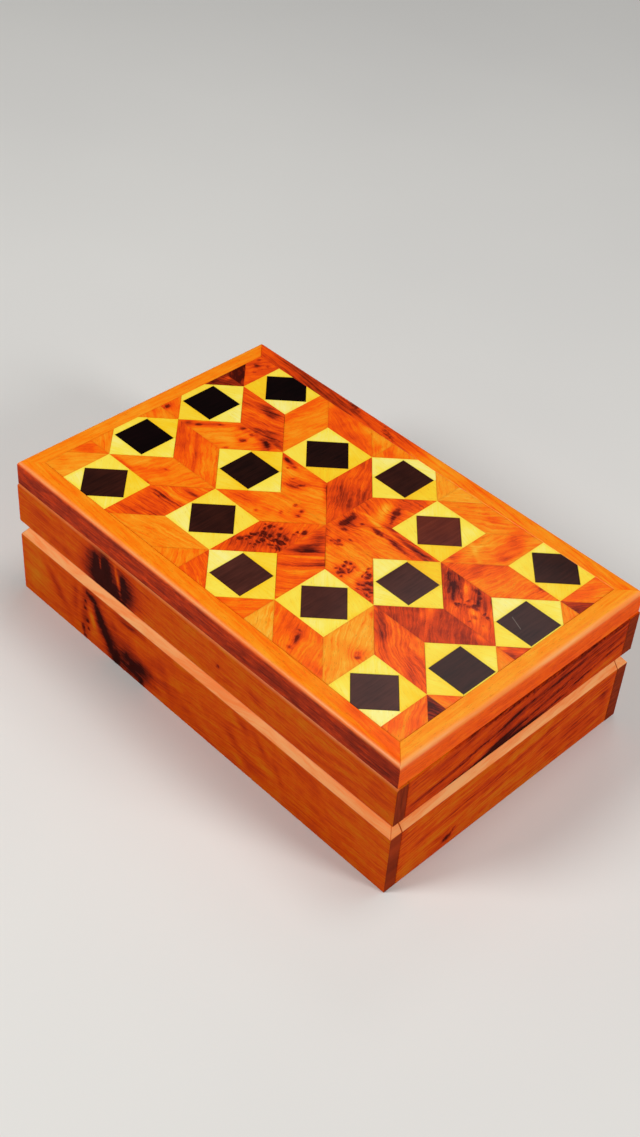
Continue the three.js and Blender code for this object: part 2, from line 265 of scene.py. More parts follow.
def thuya(name, use=TILE, plain=None, ends=False, shine=0.2, painted_shade=None, bend=1, mottle=0.34):
    """Thuya wood under varnish. Plain is the tone and lines of a piece with no painted grain and figure."""
    wood = Finish(name)
    if plain:
        tone, lines = plain
        place = wood.box_place()
        # Its edge, where a plank takes its painted highlight, is the bevel, the one face that neither lies
        # flat nor stands upright
        slope = wood.facing(2)
        edge = wood.fade(slope, 0.4, 0.5) * wood.fade(slope, 0.9, 0.8)
    else:
        place = wood.attribute("grain")
        edge = wood.other(place, "Alpha")
        figure = wood.attribute("figure")
        tone, eyes, dark = wood.split(figure)
        lines = wood.other(figure, "Alpha")
    bent = bend_grain(wood, place, bend)
    if not plain:
        eye, halo = burl_eyes(wood, bent, eyes)
        swirl = wood.node("CombineXYZ", None, (0.0, halo * 1.6, 0.0))
        bent = wood.vector("ADD", bent, swirl)
    bands = wood.stretched(bent, (0.12, 1, 1), 0.22, 3) - 0.5
    fibre = wood.stretched(bent, (0.06, 1, 1), 1.15, 5, 0.65) - 0.5
    streaks = wood.stretched(bent, (0.03, 1, 1), 2.6, 3, 0.6) - 0.5
    cloud = wood.noise(bent, 0.2, 4, 0.55) - 0.5
    phase = wood.split(bent)[1] + bands * 7
    rings = wood.fade(phase.maths("PINGPONG", 1.0), 0.3, 1.0)
    rings = rings * wood.fade(wood.noise(place, 0.15), 0.35, 0.6)
    shade = tone + bands * (0.16 + 0.4 * lines) + fibre * (0.4 + 0.5 * lines)
    shade = shade + streaks * (0.16 + 0.3 * lines) + rings * lines * 0.24 + cloud * mottle
    if not plain:
        rough = wood.noise(bent, 0.8, 4, 0.6) - 0.5
        knot = wood.fade(dark + rough * 0.9, *use["knot_fade"])
        scorch = wood.fade(dark + rough * 0.4, 0.04, 0.6)
        shade = shade + scorch * 0.25 + halo * 0.24
    colour = wood.ramp(shade, *THUYA_TONES)
    pores = wood.fade(wood.stretched(place, (0.14, 1, 1), 3.8), 0.6, 0.72)
    colour = wood.mix(pores * 0.3, colour, ink("7A2408"), "MULTIPLY")
    # Painted shade: a colour that darkens the whole piece
    if painted_shade:
        colour = wood.mix(1.0, colour, painted_shade, "MULTIPLY")
    if not plain:
        colour = wood.mix(eye.maths("MAXIMUM", knot) * (0.85 + rough * 1.4), colour, use["knot"])
    # Along the painted edge: dark glue round a tile, and a painted highlight on a plank's bevel and rounded
    # edges
    glue_and_highlight = wood.mix(wood.fade(fibre + bands, -0.25, 0.25), *use["edge"])
    colour = wood.mix(edge * use["edge_share"], colour, glue_and_highlight)
    if ends:
        colour = end_rings(wood, place, colour)
    return wood.surface(
        Base_Color=colour,
        Roughness=0.34 + fibre * 0.14 + pores * 0.12,
        Specular_IOR_Level=0.0,
        Coat_Weight=shine,
        Coat_Roughness=0.2,
        Normal=wood.bump(fibre * 0.5 - pores * 0.5, 0.12, 0.15),
    )


def lemonwood(name):
    """Lemonwood: fine straight fibre, with flecks across it."""
    wood = Finish(name)
    place = wood.attribute("grain")
    edge = wood.other(place, "Alpha")
    tone = wood.split(wood.attribute("figure"))[0]
    fibre = wood.stretched(place, (0.06, 1, 1), 1.6, 4, 0.6) - 0.5
    cloud = wood.noise(place, 0.12) - 0.5
    flecks = wood.fade(wood.stretched(place, (0.2, 1, 1), 2.5), 0.62, 0.74)
    colour = wood.ramp(
        tone + fibre * 0.4 + cloud * 0.35 + edge * 0.1,
        (0.0, "FBF296"), (0.3, "FBE34E"), (0.6, "FBCC1E"), (0.85, "FBB012"), (1.0, "E89712"),
    )
    return wood.surface(
        Base_Color=wood.mix(flecks * 0.3, colour, ink("C98A1E"), "MULTIPLY"),
        Roughness=0.34 + fibre * 0.15,
        Specular_IOR_Level=0.16,
        Coat_Weight=0.08,
        Coat_Roughness=0.16,
        Normal=wood.bump(fibre * 0.4, 0.1, 0.1),
    )


def scratch_line(wood, place, scratch):
    """A scratch from one place to another, given as (x, y, x, y)."""
    x, y, _ = wood.split(place)
    start, end = Vector(scratch[:2]), Vector(scratch[2:])
    way = (end - start).normalized()
    off = (y - start.y) * way.x - (x - start.x) * way.y
    along = (x - start.x) * way.x + (y - start.y) * way.y
    tip = 0.6
    line = wood.fade(abs(off), 0.2, 0.04)
    return line * wood.fade(along, 0, tip) * wood.fade((end - start).length - along, 0, tip)


def dark_wood(name, deep, light, scratch=None):
    """Stained dark wood, which may carry a scratch."""
    wood = Finish(name)
    place = wood.box_place()
    fibre = wood.stretched(place, (1, 0.07, 1), 1.3, 4, 0.6) - 0.5
    cloud = wood.noise(place, 0.1)
    colour = wood.ramp(cloud * 0.6 + fibre * 0.9 + 0.2, (0.2, deep), (0.85, light))
    height = fibre * 0.3
    if scratch:
        line = scratch_line(wood, place, scratch)
        colour = wood.mix(line * 0.24, colour, ink("C6B5A4"))
        height = height - line
    return wood.surface(
        Base_Color=colour,
        Roughness=0.28 + fibre * 0.15,
        Specular_IOR_Level=0.0,
        Coat_Weight=0.26,
        Coat_Roughness=0.15,
        Normal=wood.bump(height, 0.12, 0.1),
    )


def plain_wood(name):
    """Bare pale wood, for the inside."""
    wood = Finish(name)
    place = wood.box_place()
    fibre = wood.stretched(place, (0.04, 1, 1), 0.9, 4, 0.6) - 0.5
    bands = wood.stretched(place, (0.05, 1, 1), 0.16, 3) - 0.5
    pores = wood.fade(wood.stretched(place, (0.1, 1, 1), 3.2), 0.62, 0.72)
    tone = 0.5 + bands * 0.8 + fibre * 0.5
    colour = wood.ramp(tone, (0.1, "E9B570"), (0.5, "D59854"), (0.9, "AC7239"))
    return wood.surface(
        Base_Color=wood.mix(pores * 0.3, colour, ink("7A4A22"), "MULTIPLY"),
        Roughness=0.62 + fibre * 0.2,
        Normal=wood.bump(fibre - pores, 0.25, 0.15),
    )


def hinge_brass(name, bright, dull):
    """Brass, brushed along the hinge, darker below the back's face: in the slots and round the barrel."""
    brass = Finish(name)
    place = brass.box_place()
    brushed = brass.stretched(place, (0.05, 1, 1), 6, 3, 0.6) - 0.5
    cloud = brass.fade(brass.noise(place, 0.22, 3), 0.4, 0.75)
    behind_back_face = brass.fade(HALF_DEPTH - brass.split(place)[1], 0.06, 0.4)
    colour = brass.mix(cloud * 0.6 + brushed * 0.3, ink(bright), ink(dull))
    return brass.surface(
        Base_Color=brass.mix(behind_back_face * 0.75, colour, ink("412A14")),
        Metallic=0.85,
        Roughness=0.32 + brushed * 0.25 + cloud * 0.12,
        Normal=brass.bump(brushed, 0.15, 0.05),
    )


# The boards' finishes carry painted shade, a colour that darkens them
LONG_BOARD = dict(use=PLANK, ends=True, shine=0.07, painted_shade=ink("D2CEC8"), bend=0.45, mottle=0.26)
THUYA = thuya("Varnished thuya")
THUYA_RAIL = thuya("Varnished thuya rail", PLANK, shine=0.12, bend=0.3, mottle=0.16)
THUYA_BOARD = thuya("Varnished thuya board", **LONG_BOARD)
THUYA_BACK = thuya("Varnished thuya, back boards", plain=(0.5, 0.6), **LONG_BOARD)
THUYA_SIDE = thuya(
    "Varnished thuya board across the box", PLANK, shine=0.07, painted_shade=ink("D6CABE"), bend=0.4, mottle=0.24
)
LEMONWOOD = lemonwood("Lemonwood")
# The two darkest show the dark wood's own colour; the lighter copies after them carry painted sheen
DARK_BLACK = dark_wood("Nearly black wood", "040101", "120404")
DARK = dark_wood("Dark wood", "100605", "2C120C")
DARK_SOME_SHEEN = dark_wood("Dark wood with some painted sheen", "1F0C09", "3F1B12")
DARK_SHEEN = dark_wood("Dark wood with painted sheen", "341914", "572C23")
DARK_RED_SHEEN = dark_wood("Reddish dark wood with painted sheen", "4A1912", "72301F")
SCRATCH = (77.5, 16.2, 84.0, 13.6)
DARK_SCRATCHED_SHEEN = dark_wood("Dark wood with a scratch and painted sheen", "281412", "45251F", SCRATCH)
PLAIN = plain_wood("Bare inner wood")
BRASS = hinge_brass("Hinge brass", "F7CA6E", "CA9B4C")
SCREW_BRASS = hinge_brass("Screw brass", "FAF1AC", "E8BD70")

# Pieces

SMOOTH = math.radians(35)
MERGE = 0.002
# How far off a plane or line a point may lie and still be on it
TOUCH = 0.01


def pick(kind, action="DESELECT"):
    """Picks none or all of a piece's points, edges or faces in edit mode."""
    bpy.ops.mesh.select_mode(type=kind)
    bpy.ops.mesh.select_all(action=action)


def clear():
    """Leaves edit mode, with nothing selected."""
    if bpy.context.object and bpy.context.object.mode != "OBJECT":
        bpy.ops.object.mode_set(mode="OBJECT")
    bpy.ops.object.select_all(action="DESELECT")


def grown(operator, name, middle, size, **more):
    """A primitive added at its size and place, in millimetres, open for editing."""
    clear()
    operator(size=1, location=[v * MM for v in middle], **more)
    piece = bpy.context.object
    piece.scale = [v * MM for v in size]
    piece.name = name
    piece.data.name = name
    bpy.ops.object.transform_apply(location=True, rotation=True, scale=True)
    bpy.ops.object.mode_set(mode="EDIT")
    return piece


def block(name, low, high):
    middle = [(a + b) / 2 for a, b in zip(low, high)]
    size = [b - a for a, b in zip(low, high)]
    return grown(bpy.ops.mesh.primitive_cube_add, name, middle, size)


def cut(point, normal, **ways):
    bpy.ops.mesh.select_all(action="SELECT")
    bpy.ops.mesh.bisect(plane_co=Vector(point) * MM, plane_no=Vector(normal).normalized(), **ways)


def trim(point, normal):
    """Takes off what lies beyond a plane, and closes the cut."""
    cut(point, normal, clear_outer=True, use_fill=True)


def scribe(piece, cell):
    """Rules lines across a piece, so that its grain and figure can be painted on their crossings."""
    points = [vertex.co / MM for vertex in bmesh.from_edit_mesh(piece.data).verts]
    for axis in (2, 1, 0):
        low = min(p[axis] for p in points)
        high = max(p[axis] for p in points)
        normal = Vector([int(k == axis) for k in range(3)])
        count = round((high - low) / cell)
        for i in range(1, count):
            cut(normal * (low + (high - low) * i / count), normal)


def carve(piece, low, high):
    """Cuts a block's room out of a piece."""
    cutter = block("cutter", low, high)
    clear()
    bpy.context.view_layer.objects.active = piece
    piece.select_set(True)
    taken = piece.modifiers.new("rebate", "BOOLEAN")
    taken.object = cutter
    taken.operation = "DIFFERENCE"
    taken.solver = "EXACT"
    bpy.ops.object.modifier_apply(modifier=taken.name)
    bpy.data.objects.remove(cutter)
    bpy.ops.object.mode_set(mode="EDIT")


def round_edges(piece, wanted, size, segments):
    """Rounds the edges whose ends and middle, in millimetres, are all wanted."""
    pick("EDGE")
    mesh = bmesh.from_edit_mesh(piece.data)
    for edge in mesh.edges:
        a, b = (vertex.co / MM for vertex in edge.verts)
        if all(wanted(point) for point in (a, b, (a + b) / 2)):
            edge.select_set(True)
    bmesh.update_edit_mesh(piece.data)
    bpy.ops.mesh.bevel(offset=size * MM, segments=segments, affect="EDGES")


def ease(size, segments=2, sharpness=30):
    """Breaks every edge that is sharper than so many degrees."""
    pick("EDGE")
    bpy.ops.mesh.edges_select_sharp(sharpness=math.radians(sharpness))
    bpy.ops.mesh.bevel(offset=size * MM, segments=segments, affect="EDGES", clamp_overlap=True)


def close():
    """Leaves edit mode with faces outwards and the soft edges shaded smooth."""
    pick("VERT", "SELECT")
    bpy.ops.mesh.remove_doubles(threshold=MERGE * MM)
    bpy.ops.mesh.normals_make_consistent(inside=False)
    bpy.ops.object.mode_set(mode="OBJECT")
    bpy.ops.object.shade_smooth_by_angle(angle=SMOOTH)


def dress(piece, finish):
    piece.data.materials.clear()
    piece.data.materials.append(finish)


def fit(piece, body, finish, slot, *nodes):
    """Gives a piece its finish and its place on the box."""
    dress(piece, finish)
    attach(piece, body)
    if nodes:
        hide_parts(*nodes)


# How the wood is cut and what it shows

# The axes along a face, up it and into it
TOP, FRONT, SIDE = (0, 1, 2), (0, 2, 1), (1, 2, 0)
# Keeps the painted places above 0
START = 300
# How far one piece's grain is from the next one's, along it and into the face
SEED_STEPS = (31.3, 41.7)
BULGE_SHARE = 0.5
# A mark fades with the square of the distance, counted in its half lengths and widths, and ends here
MARK_REACH = 9


class Wood:
    """One piece of wood and what its face shows.

    Its lists of marks are named tone, dark, eyes and bulge. A mark is (across, up, half length,
    half width, strength, turn), in millimetres and degrees, and one without a turn lies level."""

    def __init__(self, shade, lines=0.2, turn=0, face=TOP, **marks):
        self.shade = shade
        self.lines = lines
        self.turn = math.radians(turn)
        self.face = face
        self.marks = marks

    def show(self, kind, a, b):
        """How strongly each mark of one kind shows at a place on the face."""
        for mark in self.marks.get(kind, ()):
            x, y, long, wide, strength, turn = (*mark, 0)[:6]
            c, s = math.cos(math.radians(turn)), math.sin(math.radians(turn))
            along = ((a - x) * c + (b - y) * s) / long
            across = ((b - y) * c - (a - x) * s) / wide
            reach = along * along + across * across
            if reach < MARK_REACH:
                yield strength * math.exp(-reach)

    def strongest(self, kind, a, b):
        """The strongest mark at a place, or less than 0 where pale marks outweigh the dark ones."""
        shares = list(self.show(kind, a, b))
        total = sum(shares)
        return max(shares) if total > 0 else total

    def paint(self, piece, seed, edge):
        """Writes the grain's run and the figure on every point of the piece."""
        mesh = piece.data
        grain = mesh.attributes.new("grain", "FLOAT_COLOR", "POINT")
        figure = mesh.attributes.new("figure", "FLOAT_COLOR", "POINT")
        c, s = math.cos(self.turn), math.sin(self.turn)
        for i, vertex in enumerate(mesh.vertices):
            point = vertex.co / MM
            a, b, deep = (point[axis] for axis in self.face)
            along = START + a * c + b * s + seed * SEED_STEPS[0]
            across = START + b * c - a * s + sum(self.show("bulge", a, b)) * BULGE_SHARE
            grain.data[i].color = (along, across, deep + seed * SEED_STEPS[1], edge(point))
            tone = self.shade + sum(self.show("tone", a, b))
            eyes = self.strongest("eyes", a, b)
            dark = self.strongest("dark", a, b)
            figure.data[i].color = (tone, eyes, dark, self.lines)
        return piece


# The case: boards with a bevel along the seam

BOARD_EASE = 0.3
BOARD_CELL = 1.0
# How strong the painted highlight is on a long board's rounded edge under the rim
LEDGE_HIGHLIGHT = 0.5
# How far off a bevel's plane the eased edges beside it may lie
BEVEL_TOUCH = 0.05


def under_rim(point):
    """Whether a point lies on the outer edge of a board's top."""
    outside = max(abs(point.x) - HALF_LENGTH, abs(point.y) - HALF_DEPTH)
    return abs(point.z - RIM_FOOT) < TOUCH and outside > -TOUCH


def wall_board(name, low, high, bevels, wood, seed):
    """A board of the base, rebated for the bottom panel, or of the lid, rounded under the rim."""
    piece = block(name, low, high)
    for point, normal in bevels:
        trim(point, normal)
    if low[2] == 0:
        carve(piece, (-BOTTOM_ROOM[0], -BOTTOM_ROOM[1], -1), (*BOTTOM_ROOM, BOTTOM))
    else:
        round_edges(piece, under_rim, LEDGE, segments=3)
    ease(BOARD_EASE)
    scribe(piece, BOARD_CELL)
    close()

    def highlight(point):
        """The painted highlight: 1 on a bevel, less on a long board's rounded edge under the rim, 0
        elsewhere.
        """
        for at, way in bevels:
            if abs((point - Vector(at)).dot(Vector(way).normalized())) < BEVEL_TOUCH:
                return 1
        below = RIM_FOOT - point.z
        on_ledge = below > -TOUCH and HALF_DEPTH - abs(point.y) < LEDGE
        return LEDGE_HIGHLIGHT * max(1 - below / LEDGE, 0) if on_ledge else 0

    return wood.paint(piece, seed, highlight)


def bevel_planes(seam, rise):
    """The bevels next to the seam, by side; rise is 1 where the board is above it and -1 below."""
    start = seam + rise * GROOVE_RISE
    lean = -rise * GROOVE_DEPTH
    return {
        "front": ((0, -HALF_DEPTH, start), (0, -GROOVE_RISE, lean)),
        "right": ((HALF_LENGTH, 0, start), (GROOVE_RISE, 0, lean)),
        "left": ((-HALF_LENGTH, 0, start), (-GROOVE_RISE, 0, lean)),
    }


BASE_FRONT_WOOD = Wood(0.5, 0.3, 2, face=FRONT, tone=[
    (-50, 14, 15, 4.4, 0.5, -64), (-61, 12, 2.4, 14, 0.24), (-38, 9, 8, 9, 0.3), (-35, 26, 8, 2, 0.3),
    (-30, 5, 9, 6, 0.36, 20), (-18, 18, 6, 4, 0.12, 20), (-12, 10, 3, 8, 0.1, 30),
    (-56.4, 14, 1.6, 5, -0.3, 20), (28, 24, 5, 2, 0.2, -40), (23, 13.4, 6, 2.4, 0.2, -36),
    (37, 21, 5, 1.4, 0.18, -45), (47, 14, 5, 1.4, 0.16, -60), (35, 7, 6, 3, 0.16),
    (27, 4.6, 4, 1.6, -0.12, -30), (41, 11, 4, 3, -0.1), (58, 25, 7, 2, 0.14), (70, 10, 14, 1.2, 0.1, -20),
    (2, 6, 14, 2, 0.1, -30), (-77, 14, 9, 2.4, 0.24, -52), (-66.4, 18, 2, 9, 0.2, -5),
    (-92, 14, 7, 10, -0.14), (-27, 9, 8, 5, 0.2), (-44, 20, 4, 2, 0.16, -50),
], dark=[
    (-56.5, 24.4, 4.5, 1.8, 0.66, -20), (-52, 18, 6, 1.8, 0.74, -64), (-47, 8.6, 6, 1.8, 0.78, -62),
    (-42.6, 2.6, 5, 2, 0.9, 80), (-60.2, 20.3, 1, 0.9, 0.8), (-60.6, 16.6, 1, 0.9, 0.8),
    (-59.3, 10.4, 1.2, 1, 0.8), (-59, 6.4, 1, 0.9, 0.8), (-62.5, 5, 1.1, 2.4, 0.8),
    (-61.6, 1.4, 1.2, 1.2, 0.8), (-33, 5, 3.4, 1.6, 0.48, 40), (-27.7, 1.6, 1.8, 2.4, 0.56),
    (-36, 9.4, 1.4, 2, 0.4),
], bulge=[(-70, 16, 22, 22, 9), (-20, 4, 20, 12, 7), (40, 30, 30, 16, -8)])
LID_FRONT_WOOD = Wood(0.48, 0.3, -2, face=FRONT, tone=[
    (-48.6, 43, 6.4, 12, 0.6), (-38, 43, 5.4, 8, 0.34), (-44, 36, 12, 4, 0.24), (-55, 41.6, 5, 9, 0.24),
    (-34, 42, 5, 8, 0.24), (-40, 44.5, 0.8, 6, -0.5, 12), (-50.2, 46.5, 0.5, 3, -0.44, 4),
    (-28, 44, 8, 5, 0.12), (-60, 40, 4, 6, 0.1), (14.6, 43, 3, 1.6, 0.12), (33, 42, 5, 2, 0.16, -30),
    (76, 44.6, 30, 0.8, 0.12, 12), (84, 41, 24, 0.8, 0.12, 12), (60, 37, 20, 1.2, 0.1, 6),
    (-85, 46, 12, 1.4, 0.12, -6), (-80, 39, 14, 1.4, 0.1, -6),
], dark=[
    (-46.4, 43, 2.6, 9, 0.74, 3), (-52.8, 44, 1.3, 6, 0.56), (-37, 46, 1.8, 3, 0.6), (-42.6, 37, 3, 3, 0.66),
    (-38, 35, 4, 1.4, 0.6, 10), (-49.6, 37, 2, 4, 0.56), (-50.2, 46.5, 0.7, 3.4, -0.8, 4),
    (-40, 44.5, 0.9, 6, -0.9, 12), (14.8, 42.9, 1.4, 0.8, 0.7, 50),
])
BASE_RIGHT_WOOD = Wood(0.46, 0.6, 6, face=SIDE, tone=[
    (-32, 4.5, 6, 2.4, 0.14, 10), (36, 12, 18, 8, 0.14, 10), (52, 17, 4, 9, 0.14),
    (-24, 17, 34, 0.8, 0.2, 5), (14, 20, 30, 0.9, 0.18, 9), (0, 12, 40, 0.8, 0.14, 7),
], dark=[(-32, 4.2, 2.8, 1.5, 0.85, 10), (-29, 6.2, 2.2, 0.9, 0.66, 40)], bulge=[(-32, 4.6, 5, 5, 2)])
# On the lid's right board, the long dark mark along the top under the rim is a painted shadow, and the pale
# mark at the front end of that edge is a painted highlight
LID_RIGHT_WOOD = Wood(0.6, 0.5, 7, face=SIDE, tone=[
    (-42, 40.2, 16, 0.9, 0.34, 6), (-8, 38.6, 10, 4, 0.34, 20), (26, 44.6, 22, 3, 0.16, 4),
    (-46, 44, 12, 3, -0.14, 4), (-50, 37.4, 8, 1.4, -0.12, 4), (44, 37.4, 14, 1.6, -0.16, 4),
    (2, 42.6, 12, 1.2, -0.16, 10), (-30, 45.4, 10, 1.2, -0.14, 8), (-22, 39, 8, 1, -0.16, 8),
    (50, 47, 10, 2, 0.1, 4), (-49, 52.8, 13, 1.2, -0.2), (4, 35.6, 20, 1.6, 0.3, 2),
    (22, 48, 30, 2, 0.14, 4),
], dark=[
    (-22, 42.7, 12, 0.9, 0.56, 8), (-7, 45.2, 10, 0.9, 0.6, 13), (-35, 34.7, 12, 0.9, 0.64, 4),
    (-20, 35.5, 10, 1.2, 0.66, 4), (-13, 37.2, 5, 1.4, 0.4, 24), (4, 35.4, 12, 1.2, 0.66, 2),
    (5, 39.7, 9, 0.9, 0.56, 9), (19, 42, 9, 0.8, 0.56, 10), (20, 37.2, 8, 0.8, 0.5, 8),
    (33, 39.8, 8, 0.9, 0.6, 11), (49, 41.9, 9, 0.9, 0.62, 3), (22, 47.6, 12, 0.9, 0.54, 6),
    (8, 52.2, 50, 1.1, 0.56),
])
PLAIN_SIDE_WOOD = Wood(0.5, 0.5, 3, face=SIDE)

# Each storey of the case: its body, foot, top, side of the seam, and the woods of its boards
STOREYS = (
    ("base", 0, BASE_TOP, -1, (BASE_FRONT_WOOD, PLAIN_SIDE_WOOD, BASE_RIGHT_WOOD)),
    ("lid", LID_FOOT, RIM_FOOT, 1, (LID_FRONT_WOOD, PLAIN_SIDE_WOOD, LID_RIGHT_WOOD)),
)
# Each board: its side of the box, and its low and high corners seen from above
BOARDS = (
    ("front", (-HALF_LENGTH, -HALF_DEPTH), (HALF_LENGTH, -INNER_Y)),
    ("left", (-HALF_LENGTH, -SHORT), (-INNER_X, SHORT)),
    ("right", (INNER_X, -SHORT), (HALF_LENGTH, SHORT)),
)
for storey, (body, foot, top, rise, woods) in enumerate(STOREYS):
    bevels = bevel_planes(foot if rise > 0 else top, rise)
    for i, (side, low, high) in enumerate(BOARDS):
        finish = THUYA_BOARD if side == "front" else THUYA_SIDE
        own = tuple(bevels.values()) if side == "front" else (bevels[side],)
        name = f"{body}_{side}"
        seed = storey * len(BOARDS) + i
        piece = wall_board(f"{name}_thuya_board", (*low, foot), (*high, top), own, woods[i], seed)
        fit(piece, body, finish, "case_thuya", f"{name}_board")

# Rim rails, mitred at the corners

RAIL_EASE = 0.12
RAIL_CELL = 2.0
RAIL_SEED = 11


def rim_rail(name, wood, side, along, highlight_size, seed):
    """A rail on one side (-1 or 1) of the box, running along X (0) or Y (1).

    Its highlight size is how strong, and how many millimetres wide, the painted highlight along its rounded
    edge is."""
    across = 1 - along
    outer = RIM_OUTER[across]
    low, high = [0, 0, RIM_FOOT], [0, 0, HEIGHT]
    low[along], high[along] = -RIM_OUTER[along], RIM_OUTER[along]
    low[across], high[across] = sorted((outer * side, RIM_INNER[across] * side))
    piece = block(name, low, high)

    def crest(point):
        return abs(point[across] * side - outer) < TOUCH and abs(point.z - HEIGHT) < TOUCH

    round_edges(piece, crest, RIM_ROUND, segments=6)
    for end in (-1, 1):
        corner = [0, 0, HEIGHT]
        corner[along] = (RIM_OUTER[along] - GLUE_LINE / 2) * end
        corner[across] = outer * side
        normal = [0, 0, 0]
        normal[along] = end
        normal[across] = -side
        trim(corner, normal)
    carve(piece, (-TONGUE_ROOM[0], -TONGUE_ROOM[1], RIM_FOOT - 1), (*TONGUE_ROOM, RIM_FOOT + TONGUE))
    ease(RAIL_EASE, segments=1, sharpness=60)
    scribe(piece, RAIL_CELL)
    close()

    def highlight(point):
        """The painted highlight, strongest halfway round the rounded edge."""
        aside = outer - point[across] * side
        below = HEIGHT - point.z
        strength, width = highlight_size
        return strength * math.exp(-(((aside - below) / width) ** 2))

    return wood.paint(piece, seed, highlight)


# The tone marks along the front, left and right rails' outer edges darken their outer faces: partly the
# wood's own darker red, partly painted shade
RAIL_FRONT_WOOD = Wood(0.36, 0.15, -4, tone=[
    (90, -58, 20, 8, 0.1), (0, -62.3, 400, 0.5, 0.54), (20, -56, 30, 1.4, 0.06, -2),
    (74, -56.4, 6, 1.6, 0.16), (88, -57, 5, 1.4, 0.12),
])
RAIL_BACK_WOOD = Wood(0.36, 0.35, -6, tone=[
    (-62, 58, 54, 12, 0.44), (-15, 58, 6, 8, 0.1), (6, 58, 10, 12, -0.14),
], dark=[(-43, 60, 6, 1.6, 0.5, -30), (-22, 57, 6, 1.6, 0.5, -30)])
RAIL_LEFT_WOOD = Wood(0.34, 0.1, 88, tone=[(-99.8, 0, 0.5, 400, 0.34)])
RAIL_RIGHT_WOOD = Wood(0.28, 0.15, 90, tone=[(99.8, 0, 0.5, 400, 0.3)])
# Each rail: its wood, its side, its run, its painted highlight and its slot
rails = {
    "front": (RAIL_FRONT_WOOD, -1, 0, (0.7, 0.9), "red_thuya"),
    "back": (RAIL_BACK_WOOD, 1, 0, (0.4, 0.8), "red_thuya"),
    "left": (RAIL_LEFT_WOOD, -1, 1, (0.4, 0.8), "orange_thuya"),
    "right": (RAIL_RIGHT_WOOD, 1, 1, (0.9, 1.3), "gold_thuya"),
}
for seed, (name, (wood, side, along, highlight_size, slot)) in enumerate(rails.items(), RAIL_SEED):
    piece = rim_rail(f"rim_{name}_thuya_rail", wood, side, along, highlight_size, seed)
    fit(piece, "lid", THUYA_RAIL, slot, f"rim_{name}_rail")

# The lid's core: a tongue with the field raised on it, under the marquetry


def lid_core(name, field_height):
    reach = [room - GLUE_LINE for room in TONGUE_ROOM]
    core = block(name, (-reach[0], -reach[1], RIM_FOOT), (*reach, RIM_FOOT + TONGUE))
    pick("FACE")
    mesh = bmesh.from_edit_mesh(core.data)
    for face in mesh.faces:
        face.select_set(face.normal.z > 0.9)
    bmesh.update_edit_mesh(core.data)
    bpy.ops.mesh.inset(thickness=TONGUE_REACH * MM)
    rise = field_height - RIM_FOOT - TONGUE
    bpy.ops.mesh.extrude_region_move(TRANSFORM_OT_translate={"value": (0, 0, rise * MM)})
    close()
    return core


GLUE_FOOT = HEIGHT - VENEER - GLUE_BED
fit(lid_core("lid_core", GLUE_FOOT), "lid", PLAIN, "thuya_burl", "lid_panel")
glue = block("veneer_glue", (-FIELD[0], -FIELD[1], GLUE_FOOT), (*FIELD, HEIGHT - VENEER - GLUE_LINE))
ease(GLUE_LINE)
close()
fit(glue, "lid", DARK, "thuya_burl")

# Marquetry: veneer tiles round an eight-pointed star

K = math.sqrt(0.5)
EDGE_SHADE = 0.4


def module_point(x, y):
    return Vector((STAR_MIDDLE[0] + x * MODULE, STAR_MIDDLE[1] + y * MODULE))


def side_planes(outline):
    """Each side's first point and the way out of the outline."""
    sides = list(zip(outline, outline[1:] + outline[:1]))
    turned = sum(a.x * b.y - b.x * a.y for a, b in sides)
    way = 1 if turned > 0 else -1
    for a, b in sides:
        yield a, Vector(((b.y - a.y) * way, (a.x - b.x) * way)).normalized()


def field_sides():
    for x, y in ((-1, 0), (1, 0), (0, -1), (0, 1)):
        yield Vector((x * FIELD[0], y * FIELD[1])), Vector((x, y))


def tile(name, outline, wood, seed, cell, gap):
    """A veneer plate with straight sides, trimmed to the field inside the rim."""
    low = [max(min(p[i] for p in outline), -FIELD[i]) for i in (0, 1)]
    high = [min(max(p[i] for p in outline), FIELD[i]) for i in (0, 1)]
    size = [high[i] - low[i] for i in (0, 1)]
    counts = [max(1, round(length / cell)) for length in size]
    middle = ((low[0] + high[0]) / 2, (low[1] + high[1]) / 2, HEIGHT)
    piece = grown(
        bpy.ops.mesh.primitive_grid_add, name, middle, (*size, 1),
        x_subdivisions=counts[0], y_subdivisions=counts[1],
    )
    planes = [(p - n * gap / 2, n) for p, n in side_planes(outline)]
    for point, normal in planes:
        cut((*point, HEIGHT), (*normal, 0), clear_outer=True)
    bpy.ops.mesh.select_all(action="SELECT")
    bpy.ops.mesh.extrude_region_move(TRANSFORM_OT_translate={"value": (0, 0, -VENEER * MM)})
    bpy.ops.mesh.dissolve_faces()
    close()
    planes += list(field_sides())

    def edge(point):
        """1 at the plate's side, 0 from the edge's shade inwards."""
        nearest = min((p - point.xy).dot(n) for p, n in planes)
        return 1 - min(max(nearest / EDGE_SHADE, 0), 1)

    return wood.paint(piece, seed, edge)


def joined(name, pieces):
    clear()
    for piece in pieces:
        piece.select_set(True)
    bpy.context.view_layer.objects.active = pieces[0]
    bpy.ops.object.join()
    pieces[0].name = name
    pieces[0].data.name = name
    return pieces[0]


# Outlines, in modules from the star's middle


def ray(turn):
    return math.cos(math.radians(turn)), math.sin(math.radians(turn))


def star_point(i):
    (ax, ay), (bx, by) = ray(45 * i), ray(45 * i + 45)
    return [(0, 0), (ax, ay), (ax + bx, ay + by), (bx, by)]


def flip(outline, x, y):
    return [(a * x, b * y) for a, b in outline]


def sector(x, y, start):
    """A wedge of 45 degrees from a point, long enough to reach past the field."""
    (ax, ay), (bx, by) = ray(start), ray(start + 45)
    return [(x, y), (x + 2 * ax, y + 2 * ay), (x + 2 * bx, y + 2 * by)]


